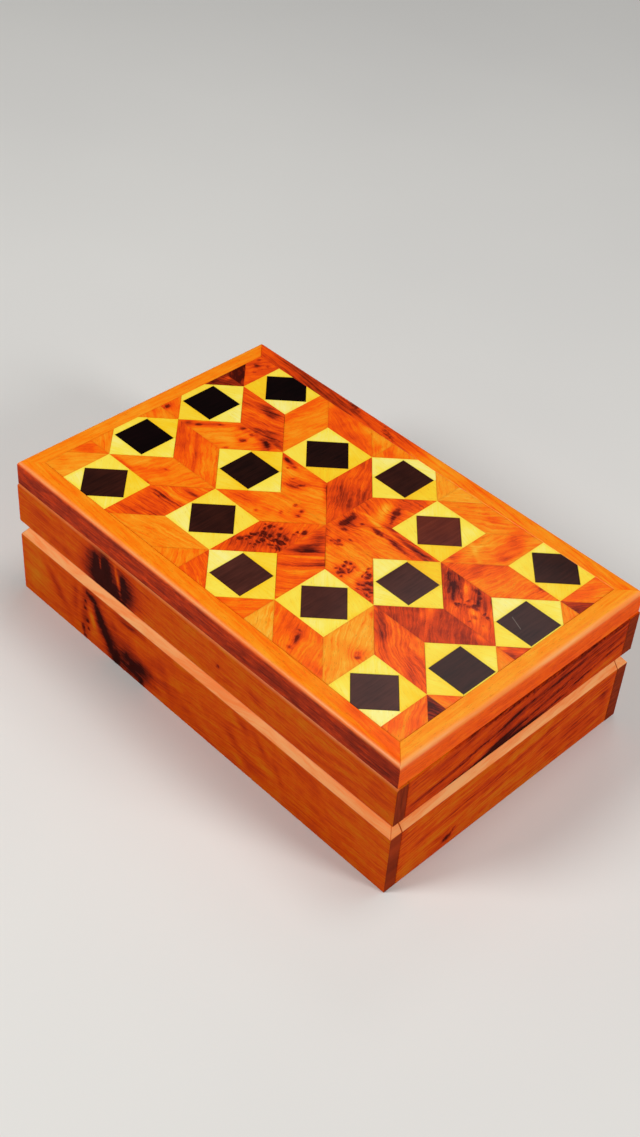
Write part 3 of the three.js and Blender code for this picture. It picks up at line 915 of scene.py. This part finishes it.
SIDE_X = 2 * K + 2
SIDE_Y = 2 * K
UPPER_ARM = [(K + 1, K), (K + 1, K + 1), (2 * K + 1, 2 * K + 1), (2 * K + 1, SIDE_Y)]
MIDDLE_ARM = [(K + 1, K), (K + 2, K), (SIDE_X, SIDE_Y), (2 * K + 1, SIDE_Y)]
LOWER_ARM = [(K + 1, K), (K + 2, K), (SIDE_X, 0), (2 * K + 1, 0)]
SHOULDER = [(K, K + 1), (K + 1, K + 1), (2 * K + 1, 2 * K + 1), (2 * K, 2 * K + 1)]
SHOULDER_WEDGE = [(K, K + 1), (2 * K, 2 * K + 1), (K, 2 * K + 1)]
SQUARE_WEDGE = [(K, K + 1), (K, 2 * K + 1), (0, 2 * K + 1)]
tiles = []


def burl(side, outline, *look, **marks):
    """Adds a tile with a wood of its own."""
    tiles.append((side, outline, Wood(*look, **marks)))


# The star: three of its tiles on the right come from one sheet, and two on the left from another
EAST_WOOD = Wood(0.45, 0.5, 6, tone=[
    (9.6, 23, 6, 2, -0.28, -60), (15, 23, 5, 3, 0.28, -60), (4, 20, 4, 7, 0.16), (13, 33, 4, 6, 0.12, 45),
    (5, 30, 7, 4, 0.12, 30), (11.5, 31, 5, 3, 0.08, 30), (6, 15.8, 4, 0.6, -0.26, 12),
    (13, 15, 5, 0.5, -0.26, -6), (24, 14.8, 9, 0.5, -0.26, -6), (32, 15.6, 11, 2, 0.48, -1),
    (24, 12.6, 11, 1, 0.24, -2), (18, 17.4, 4, 1, 0.2), (5.4, 8.4, 4, 6.4, 0.3), (12, 8, 6, 0.5, 0.2, -4),
    (13, 6, 6, 0.5, 0.18, -8), (14.4, 3.6, 5, 0.5, 0.18, -8), (24, 6, 10, 3, -0.12, -10),
    (10.8, -2.8, 3, 3, 0.2), (5, -2.6, 5, 1, 0.26, -45), (20, -3, 9, 4, -0.14, -20), (23, -10, 3, 4, 0.18),
    (34.6, -10.5, 4.4, 6, 0.26, 35), (27.6, -8, 0.8, 6, -0.14, 10), (12, -8, 6, 3, -0.1, -45),
], dark=[
    (12.4, 27.2, 1.2, 1, 0.8), (13.4, 25.4, 1.6, 1.6, 0.9), (14.6, 22.4, 1.8, 0.9, 0.75, -70),
    (16, 20, 1.6, 0.7, 0.66, -60), (16.6, 12.3, 3.2, 1.2, 0.85, -4), (24, 13.2, 4, 0.6, 0.6, 4),
    (28, 11.8, 8, 0.7, 0.6, -3), (4.7, 10.9, 1.2, 2, 0.85, 5), (4.8, 6.8, 1.5, 2, 0.85, -10),
    (9.7, 11.3, 0.8, 1, 0.72), (7.5, 4.2, 1.4, 1, 0.7, 20), (13.2, 1.8, 1.3, 0.7, 0.7, -10),
    (3.2, 12.8, 0.8, 0.9, 0.66), (10.6, -1.6, 1.4, 0.8, 0.7, -50), (11.4, -3.4, 1.4, 0.9, 0.7, 10),
    (9, -3.4, 1, 0.8, 0.66), (12.8, -2.4, 0.9, 0.8, 0.66), (22, -7.4, 0.8, 1, 0.72),
    (24.2, -7.6, 0.8, 1, 0.72), (21, -9.6, 0.8, 1, 0.7), (25, -10, 0.8, 1, 0.7),
    (23.8, -12.6, 1.1, 0.8, 0.72), (21.6, -12, 0.8, 0.9, 0.7), (30.6, -6.2, 1.2, 0.8, 0.75),
    (33.4, -9.6, 1.4, 0.8, 0.76, 20), (31.6, -12.6, 1.2, 0.9, 0.76), (35.4, -12.4, 1.3, 0.7, 0.72, 30),
    (33, -14.6, 1, 0.8, 0.7), (38.4, -14.8, 1.4, 0.7, 0.72, -10),
], eyes=[
    (23, -10, 2.6, 4, 0.95), (33, -8, 3, 6, 1.1, 35), (38, -13.5, 5, 2.5, 1.0, -30),
], bulge=[(12, 24, 7, 7, 7), (5, 9, 6, 6, 5), (28, -9, 6, 6, 4)])
WEST_WOOD = Wood(0.39, 0.32, 18, tone=[
    (-34, 15.8, 5, 1.4, 0.44, -14), (-22.5, 9, 5.5, 3, 0.22, 35), (-14.5, 16, 5, 0.8, 0.24, -38),
    (-10, 12, 6, 0.7, 0.2, -48), (-28, 12, 3, 2, -0.08), (-28, -10.5, 9, 4, 0.16, 30),
    (-20, -4, 6, 4, -0.08), (-10, -2, 3, 4, 0.12),
], dark=[
    (-35.4, 16.2, 1.6, 0.8, 0.7, -20), (-30, 15.4, 1.2, 0.7, 0.6), (-31.6, 12.9, 0.8, 0.7, 0.6),
    (-23, 6.6, 4, 0.9, 0.66, 18), (-20.6, 9.4, 2.8, 0.8, 0.66, 50), (-25.6, 10.2, 2, 0.5, 0.5, 60),
    (-13.8, 0, 1.2, 0.9, 0.72, -60), (-9.7, -0.6, 1.5, 0.9, 0.72, -60), (-8.8, -3.4, 1.2, 1, 0.72),
    (-14.4, -6.6, 1.2, 0.8, 0.66, -40), (-21, -13, 1.1, 1.1, 0.62),
], bulge=[(-22, 10, 8, 8, 5), (-12, -2, 5, 5, 4)])

# The tiles go round from the right arm's upper half to its lower half
tiles += [("star", star_point(i), EAST_WOOD) for i in (0, 1)]
burl("star", star_point(2), 0.66, 0.3, -56, tone=[
    (-1.5, 22.5, 6, 2, 0.12, -56), (-5, 17.5, 6, 2.5, 0.1, -56), (-13, 33, 7, 4, -0.06, -56),
    (-6, 28, 5, 1, -0.14, -56), (-12, 28, 8, 1.4, -0.14, -56), (-2, 6, 4, 6, -0.1),
])
tiles += [("star", star_point(i), WEST_WOOD) for i in (3, 4)]
burl("star", star_point(5), 0.55, 0.35, -60, tone=[
    (-6.5, -19, 8, 7, 0.22, -40), (-11, -29, 5, 6, 0.16), (-10, -12, 3, 3, -0.05), (-6, -9, 4, 4, -0.08),
], dark=[
    (-0.4, -8, 1.6, 1, 0.9, -70), (-7.6, -13, 1, 0.8, 0.8, -45), (-5.6, -15.8, 1.2, 0.8, 0.85, -45),
    (-2, -15.4, 1.3, 1, 0.85), (-0.4, -21.4, 1.3, 1.1, 0.8), (-7.2, -18.6, 1.2, 0.9, 0.8),
    (-11, -15.4, 1, 0.8, 0.75, -60), (-10, -19.1, 1.2, 0.8, 0.8, -50), (-4.4, -19.2, 1.2, 0.9, 0.85, 20),
    (-2.6, -18.4, 0.9, 0.8, 0.75), (-7.4, -22.4, 1.2, 0.8, 0.75), (-11.6, -22.6, 1, 0.8, 0.7),
    (-13.4, -27.6, 1.3, 1, 0.85, 80), (-12.4, -24.8, 0.8, 0.8, 0.7), (-4, -22.2, 0.9, 0.8, 0.7),
], eyes=[(-7, -19, 6.5, 6.5, 0.8), (-12, -27, 4, 5, 0.8), (-1, -9, 2, 4, 0.7)], bulge=[(-6, -18, 6, 6, 5)])
burl("star", star_point(6), 0.48, 0.4, 46, tone=[
    (6.8, -13.6, 6.8, 3.2, 0.54, 50), (8.6, -17.4, 9, 0.7, -0.3, 46), (13, -18.8, 6, 1, 0.26, 46),
    (15.4, -15, 2.6, 1.6, 0.3, 46), (4.6, -5, 5, 3, 0.32, -48), (9, -27, 5, 4, 0.06),
    (14, -24, 5, 1.6, -0.16, 46),
])
tiles.append(("star", star_point(7), EAST_WOOD))

# The left side, from its upper arm down, then the strip by the rim
burl("left", flip(UPPER_ARM, -1, 1), 0.4, 0.12, 80, tone=[
    (-55, 40, 1.6, 14, 0.1, 8), (-46, 28, 5, 5, -0.05), (-50, 46, 4, 6, -0.05),
])
burl("left", flip(MIDDLE_ARM, -1, 1), 0.57, 0.5, 14, tone=[
    (-62, 31.4, 7, 2, 0.3, 6), (-59, 29.5, 3, 1.6, 0.12), (-52, 22.6, 6, 1, 0.26, 24),
    (-46, 19.8, 5, 1.8, 0.34, -8), (-66, 26, 7, 2.4, -0.1, 8), (-56, 18.6, 7, 1.2, 0.2, 16),
    (-57, 25, 8, 0.8, 0.14, 20), (-70, 32, 3, 2, 0.06),
], eyes=[(-48, 20, 4, 2, 0.3)], bulge=[(-58, 28, 10, 5, 4)])
burl("left", flip(LOWER_ARM, -1, 1), 0.38, 0.2, 60, tone=[
    (-62, 6, 8, 3.2, -0.12, 40), (-71, 8, 11, 1.6, 0.28, 45), (-47, 15.8, 5, 3, 0.4, -45),
    (-52, 17, 9, 1.4, 0.24), (-54.8, 11.2, 2.4, 2.6, 0.2), (-60.6, 16, 3, 1.6, 0.2),
    (-76.6, 2.4, 2.4, 2.4, 0.22),
], dark=[
    (-60.6, 16.4, 1.6, 1.1, 0.66, 70), (-55.4, 16, 1.2, 1, 0.6), (-54.9, 11.2, 1.7, 1.3, 0.72, 60),
    (-56, 3.4, 1.4, 0.9, 0.64, 60), (-67.6, 11.4, 1.6, 0.8, 0.62, 45), (-73.4, 4.8, 1.5, 1, 0.66, 45),
    (-46.5, 16, 2.4, 1, 0.5, -30),
], bulge=[(-58, 11, 5, 5, 4)])
burl("left", flip(LOWER_ARM, -1, -1), 0.51, 0.32, -44, tone=[
    (-72, -5, 9, 3.4, 0.09, -42), (-62, -13, 10, 2, 0.06, -42), (-52, -8, 12, 4, -0.1, -42),
    (-62, -6, 12, 0.9, 0.12, -46), (-55, -14, 8, 0.7, 0.14, -50),
], dark=[(-78, 0.2, 2, 0.8, 0.5, -40)])
burl("left", flip(MIDDLE_ARM, -1, -1), 0.4, 0.15, 75, tone=[
    (-62, -28, 2, 6, 0.14, -15), (-60, -24, 3, 3, 0.08), (-74, -32.4, 6, 0.8, 0.26), (-66, -30, 3, 3, 0.08),
    (-70, -26, 5, 3, -0.08, 30),
], dark=[(-60, -22.6, 1.2, 0.8, 0.62, 20), (-59.2, -32.8, 1.3, 0.7, 0.64)], bulge=[(-60, -24, 4, 4, 3)])
burl("left", flip(UPPER_ARM, -1, -1), 0.5, 0.5, 6, tone=[
    (-43, -24.6, 3.4, 0.8, 0.46, 6), (-48, -33.4, 8, 1.2, 0.4, 4), (-46, -36, 8, 0.8, 0.2, 6),
    (-46, -29, 6, 1.8, -0.16, 8), (-49, -42, 6, 5, 0.16), (-45, -21, 5, 2, -0.06), (-52, -48, 4, 2.4, 0.14),
    (-42, -42, 2, 6, 0.1),
], dark=[(-50, -34.6, 5, 0.5, 0.45, 2)], bulge=[(-46, -28, 8, 5, 4)])
burl("left", sector(-SIDE_X, SIDE_Y, 90), 0.58, 0.2, 60, tone=[
    (-88, 49, 3, 3, 0.14), (-83.6, 40.5, 3, 4, -0.08),
], dark=[
    (-88.4, 48.8, 1.2, 1, 0.6), (-84.8, 51.8, 1.1, 0.9, 0.56), (-90.6, 52.2, 1, 1.2, 0.6),
    (-85.6, 45, 0.9, 0.9, 0.5),
])
burl("left", sector(-SIDE_X, SIDE_Y, 135), 0.95, 0.2, -45, tone=[
    (-83, 36.4, 2, 1, -0.12, -45),
], dark=[(-89, 40, 4, 1.6, 0.6, -45)])
burl("left", sector(-SIDE_X, SIDE_Y, 180), 0.88, 0.3, 20, tone=[(-89.3, 34.2, 1.4, 1.4, -0.3)])
burl("left", sector(-SIDE_X, 0, 135), 0.46, 0.2, -30, tone=[
    (-90, 3, 2.4, 3, 0.24), (-88, 7, 2, 2, -0.1),
], dark=[(-90.2, 3.2, 1.2, 1.8, 0.68, 20)])
burl("left", sector(-SIDE_X, 0, 180), 0.38, 0.2, -30, tone=[(-90, -2, 3, 2, 0.12)])
burl("left", sector(-SIDE_X, -SIDE_Y, 135), 0.38, 0.3, -38)
burl("left", sector(-SIDE_X, -SIDE_Y, 180), 0.44, 0.2, 60, tone=[(-89, -38, 4, 2.4, 0.16, 20)])
burl("left", sector(-SIDE_X, -SIDE_Y, 225), 0.28, 0.15, 50, tone=[(-90, -48, 2, 6, 0.05)])

# The right side
burl("right", UPPER_ARM, 0.36, 0.3, 62, tone=[
    (45.6, 37, 1.4, 8, -0.16, 6), (47.6, 31, 6, 1, -0.16, -32), (54, 38, 3, 6, 0.18, 12),
    (53.4, 47, 3.4, 5, 0.24, 10), (43.6, 23.4, 2.4, 2.4, 0.28), (49, 40, 5, 0.8, -0.12, 62),
    (57, 37, 1.4, 3, 0.2), (50, 27, 3, 3, 0.08),
], bulge=[(48, 36, 7, 7, 6)])
burl("right", MIDDLE_ARM, 0.45, 0.4, 86, tone=[
    (54, 25, 3, 9, 0.2, 4), (48, 20, 4, 3, 0.12), (68, 27, 5, 8, -0.08), (58, 33, 4, 3, 0.14),
], dark=[(75, 34.6, 2.2, 0.7, 0.6, 10)])
burl("right", LOWER_ARM, 0.72, 0.4, -50, tone=[
    (53, 12.6, 9, 4, 0.1, -45), (66, 13, 5, 3, 0.06, -20), (72, 5, 7, 4, -0.3, -30),
    (62, 3, 6, 2, -0.26, -50), (57.4, 15, 3, 1, -0.3, -50), (64, 7, 8, 0.8, 0.12, -40),
    (70, 11, 8, 0.8, 0.12, -44), (60, 11.4, 5, 1, -0.24, -46), (67, 8, 4, 1, -0.2, -40),
    (72, 12, 4, 1, -0.16, -40),
], dark=[
    (54.4, 12, 4, 2.4, 0.5, -50), (61.4, 16.4, 3, 1, 0.56, -10), (65.4, 12.6, 1.8, 1, 0.6, -50),
    (61.6, 6, 1.8, 1, 0.6, -60), (69.4, 5.8, 1.6, 1.1, 0.6), (57.5, 8, 3, 1, 0.5, -58),
    (64.6, 8.4, 1.2, 0.9, 0.6), (67.4, 9.4, 1.2, 0.9, 0.6), (49, 15, 4, 1, 0.5, -50),
], eyes=[(64, 9, 8, 5, 0.5, -30)])
burl("right", flip(LOWER_ARM, 1, -1), 0.77, 0.08, -50, tone=[
    (56.6, -2.2, 4, 2, -0.36, -45), (56.5, -7, 3, 0.8, -0.26, -50), (62, -10, 6, 0.8, -0.2, -52),
    (66, -8, 10, 1.2, 0.08, -52), (78, 0.2, 3, 1.2, -0.24),
])
burl("right", flip(MIDDLE_ARM, 1, -1), 0.53, 0.45, -30, tone=[
    (50.6, -20.4, 9, 2.4, 0.27, -42), (58, -27, 7, 1, 0.2, -42), (68, -23, 7, 0.8, 0.2, -16),
    (74, -30, 6, 1.2, 0.2, -35), (62, -20, 8, 2, -0.1, -20), (77, -31, 5, 2, 0.08),
], bulge=[(66, -24, 8, 5, 5)])
burl("right", flip(UPPER_ARM, 1, -1), 0.25, 0.45, -52, tone=[
    (55.8, -37.4, 4, 3.6, 0.3), (45, -20, 2, 2, 0.22), (55, -46, 4, 3, 0.08),
], dark=[(56.9, -38.2, 0.9, 1.2, 0.85, -30), (55.2, -36.8, 0.8, 0.6, 0.6)], bulge=[(56, -37.6, 4, 4, 4)])
burl("right", sector(SIDE_X, SIDE_Y, 45), 0.42, 0.2, 60, tone=[(86, 44, 2, 6, 0.1, -20)])
burl("right", sector(SIDE_X, SIDE_Y, 0), 0.8, 0.4, 50, tone=[
    (87.4, 40, 3.4, 0.9, -0.26, 50),
], dark=[(90.4, 45, 2.4, 0.7, 0.6, 50)])
burl("right", sector(SIDE_X, SIDE_Y, -45), 0.36, 0.2, -40)
burl("right", sector(SIDE_X, 0, 0), 0.74, 0.4, 45, tone=[(85.5, 1.8, 2, 1, -0.3, 40)])
burl("right", sector(SIDE_X, 0, -45), 0.4, 0.2, 0)
burl("right", sector(SIDE_X, -SIDE_Y, 0), 0.42, 0.2, 10)
burl("right", sector(SIDE_X, -SIDE_Y, -45), 0.9, 0.3, 20)
burl("right", sector(SIDE_X, -SIDE_Y, -90), 0.44, 0.3, -55)

# The back and front strips, between the arms and the rim
burl("back", flip(SHOULDER, -1, 1), 0.5, 0.15, -20, tone=[
    (-43, 49, 8, 4, 0.06), (-28, 52, 4, 3, -0.16), (-50, 52, 3, 3, -0.1), (-30, 45, 6, 1.4, 0.1),
], dark=[(-26, 52.6, 0.7, 0.5, 0.7)])
burl("back", flip(SHOULDER_WEDGE, -1, 1), 0.3, 0.2, -45, tone=[(-18, 46, 2, 4, 0.16)])
burl("back", flip(SQUARE_WEDGE, -1, 1), 0.36, 0.2, -50, tone=[(-14, 48, 3, 3, 0.12)])
burl("back", SQUARE_WEDGE, 0.26, 0.2, -45)
burl("back", SHOULDER_WEDGE, 0.2, 0.15, 50, dark=[(25.6, 53.4, 0.8, 0.5, 0.7)])
burl("back", SHOULDER, 0.38, 0.3, 40, tone=[
    (51.5, 48, 3.4, 5, 0.28, 10), (44, 44, 4, 3, -0.12, 30), (40, 50, 6, 1.6, 0.12, 25),
], dark=[(51.6, 47, 1.4, 1, 0.4)], bulge=[(46, 46, 6, 6, 5)])
burl("front", flip(SHOULDER, -1, -1), 0.32, 0.2, 12, tone=[(-36, -48, 9, 1.2, 0.06, 14)])
burl("front", flip(SHOULDER_WEDGE, -1, -1), 0.36, 0.25, -48, tone=[(-19, -45, 3, 4, 0.06)])
burl("front", flip(SQUARE_WEDGE, -1, -1), 0.56, 0.4, -25, tone=[(-12, -52, 4, 1, 0.12, -20)])
burl("front", flip(SQUARE_WEDGE, 1, -1), 0.5, 0.3, 50)
burl("front", flip(SHOULDER_WEDGE, 1, -1), 0.16, 0.5, -50)
burl("front", flip(SHOULDER, 1, -1), 0.44, 0.3, -62, tone=[
    (32, -44.5, 6, 4, 0.2, -60), (37.4, -48, 6, 1.6, 0.26, -66), (52, -53, 4, 2, 0.18),
    (46, -46, 5, 4, -0.06),
], dark=[(37, -47.4, 3, 0.9, 0.62, -62), (38.4, -52, 1.4, 0.9, 0.6), (34.6, -44, 1.2, 0.7, 0.55)])

TILE_CELL = 0.75
TILE_JOINT = 0.02
groups = {}
woods = [wood for _, _, wood in tiles]
for side, shares, wood in tiles:
    outline = [module_point(x, y) for x, y in shares]
    piece = tile(f"{side}_tile", outline, wood, woods.index(wood), TILE_CELL, TILE_JOINT)
    groups.setdefault(side, []).append(piece)
for side, pieces in groups.items():
    fit(joined(f"{side}_burl_tiles", pieces), "lid", THUYA, "thuya_burl")

# Lemonwood squares, each of four triangles round a dark square: the tones go round from the first corner

SQUARE_TONES = (
    (0.65, 0.2, 0.25, 0.4), (0.3, 0.25, 0.35, 0.55), (0.15, 0.2, 0.35, 0.6), (0.55, 0.2, 0.4, 0.6),
    (0.6, 0.3, 0.5, 0.25), (0.4, 0.4, 0.2, 0.35), (0.5, 0.15, 0.35, 0.5), (0.45, 0.2, 0.4, 0.25),
    (0.55, 0.35, 0.25, 0.3), (0.5, 0.3, 0.2, 0.3), (0.3, 0.35, 0.5, 0.2), (0.45, 0.35, 0.6, 0.15),
    (0.35, 0.4, 0.4, 0.3), (0.5, 0.25, 0.35, 0.05), (0.25, 0.15, 0.4, 0.3), (0.4, 0.3, 0.4, 0.5),
)
SQUARE_CELL = 1.5
SQUARE_JOINT = 0.08
CORNER_SQUARE = (2 * K + 1.5, 2 * K + 0.5)


def square_triangle(middle, turn, corner, tone, seed):
    """The triangle at one corner of a yellow square. Its thin ends stop at the dark square's corners."""
    start = turn + 90 * corner
    tip = Vector(ray(start + 45)) * MODULE * K
    before, after = Vector(ray(start)), Vector(ray(start + 90))
    half, dark_corner = MODULE / 2, DARK_SIDE * K
    outline = [before * half, tip, after * half, after * dark_corner, before * dark_corner]
    wood = Wood(tone, turn=start + (45 if corner % 2 else -20))
    return tile("triangle", [middle + p for p in outline], wood, seed, SQUARE_CELL, SQUARE_JOINT)


# Each square's middle, in modules, and its turn: eight round the star, then two in each corner of the field
squares = [(*((1 + K) * v for v in ray(45 * i)), 0 if i % 2 else 45) for i in range(8)]
for x in (-1, 1):
    for y in (-1, 1):
        squares += [(x * SIDE_X, y * K, 45), (x * CORNER_SQUARE[0], y * CORNER_SQUARE[1], 0)]
for number, ((x, y, turn), tones) in enumerate(zip(squares, SQUARE_TONES), 1):
    middle = module_point(x, y)
    triangles = [square_triangle(middle, turn, i, tone, number * 4 + i) for i, tone in enumerate(tones)]
    piece = joined(f"yellow_triangles_{number:02d}", triangles)
    fit(piece, "lid", LEMONWOOD, "lemonwood", f"yellow_square_{number:02d}")

# The solids that the scene shows as they are

# Which squares take which dark wood; the lighter ones carry painted sheen
DARK_SQUARES = (
    (DARK_BLACK, (9, 11, 12)),
    (DARK, (4, 5)),
    (DARK_SOME_SHEEN, (3, 6, 10, 13, 16)),
    (DARK_SHEEN, (1, 7, 8, 14)),
    (DARK_SCRATCHED_SHEEN, (15,)),
    (DARK_RED_SHEEN, (2,)),
)
solid_finishes = {f"dark_square_{number:02d}": wood for wood, numbers in DARK_SQUARES for number in numbers}
solid_finishes["base_bottom_panel"] = PLAIN
solid_finishes["base_back_board"] = solid_finishes["lid_back_board"] = THUYA_BACK
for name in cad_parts:
    if "hinge" in name:
        solid_finishes[name] = SCREW_BRASS if "screw" in name else BRASS
for name, finish in solid_finishes.items():
    dress(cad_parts[name], finish)

# Floor, light and camera

# The floor's side in metres, and the camera's place and aim in millimetres
FLOOR_SIZE = 6
CAMERA_PLACE = Vector((306.562, -327.861, 445.199))
CAMERA_AIM = Vector((-0.8487, 2.0039, 40))
CAMERA_ROLL = 4.463
CAMERA_LENS = 51.444
WORLD_STRENGTH = 0.13


def stage_floor():
    clear()
    bpy.ops.mesh.primitive_plane_add(size=FLOOR_SIZE, location=(0, 0, 0))
    floor = bpy.context.object
    floor.name = "floor"
    paper = Finish("Pale paper floor")
    soft = paper.noise(paper.node("TexCoord", out="Object"), 3, 3)
    shade = paper.ramp(soft, (0.3, "DAD8D4"), (0.7, "E2E0DB"))
    dress(floor, paper.surface(Base_Color=shade, Roughness=0.8))


def stand(name, data, place, aim, roll=0):
    """Puts a lamp or camera at a place in metres, aimed at another and rolled by some degrees."""
    holder = bpy.data.objects.new(name, data)
    turn = (Vector(aim) - Vector(place)).to_track_quat("-Z", "Y").to_matrix()
    turn @= Matrix.Rotation(math.radians(roll), 3, "Z")
    holder.matrix_world = Matrix.Translation(place) @ turn.to_4x4()
    bpy.context.scene.collection.objects.link(holder)
    return holder


def lamp(name, place, aim, size, power):
    """A round lamp, its size in metres and its power in watts."""
    light = bpy.data.lights.new(name, "AREA")
    light.shape = "DISK"
    light.size = size
    light.energy = power
    stand(name, light, place, aim)


def camera():
    """The photograph's own view, from a fit to the box's corners."""
    made = bpy.data.cameras.new("camera")
    made.sensor_fit = "VERTICAL"
    made.sensor_height = 36
    made.lens = CAMERA_LENS
    holder = stand("camera", made, CAMERA_PLACE * MM, CAMERA_AIM * MM, CAMERA_ROLL)
    bpy.context.scene.camera = holder


def daylight():
    world = bpy.data.worlds.new("studio")
    world.use_nodes = True
    inputs = world.node_tree.nodes["Background"].inputs
    inputs["Color"].default_value = ink("DDE0E4")
    inputs["Strength"].default_value = WORLD_STRENGTH
    bpy.context.scene.world = world


stage_floor()
lamp("key light", (-0.45, -0.9, 0.95), (0, 0, 0.03), 0.5, 10.5)
lamp("top light", (0.15, 0.3, 1.4), (0, 0, 0.06), 0.6, 5.7)
lamp("sheen light", (-0.46, 0.78, 1.12), (0.03, -0.03, 0.06), 0.4, 1.0)
lamp("right light", (1.2, 0.3, 0.75), (0, 0, 0.02), 0.4, 8.3)
camera()
daylight()
bpy.context.scene.view_settings.view_transform = "Standard"
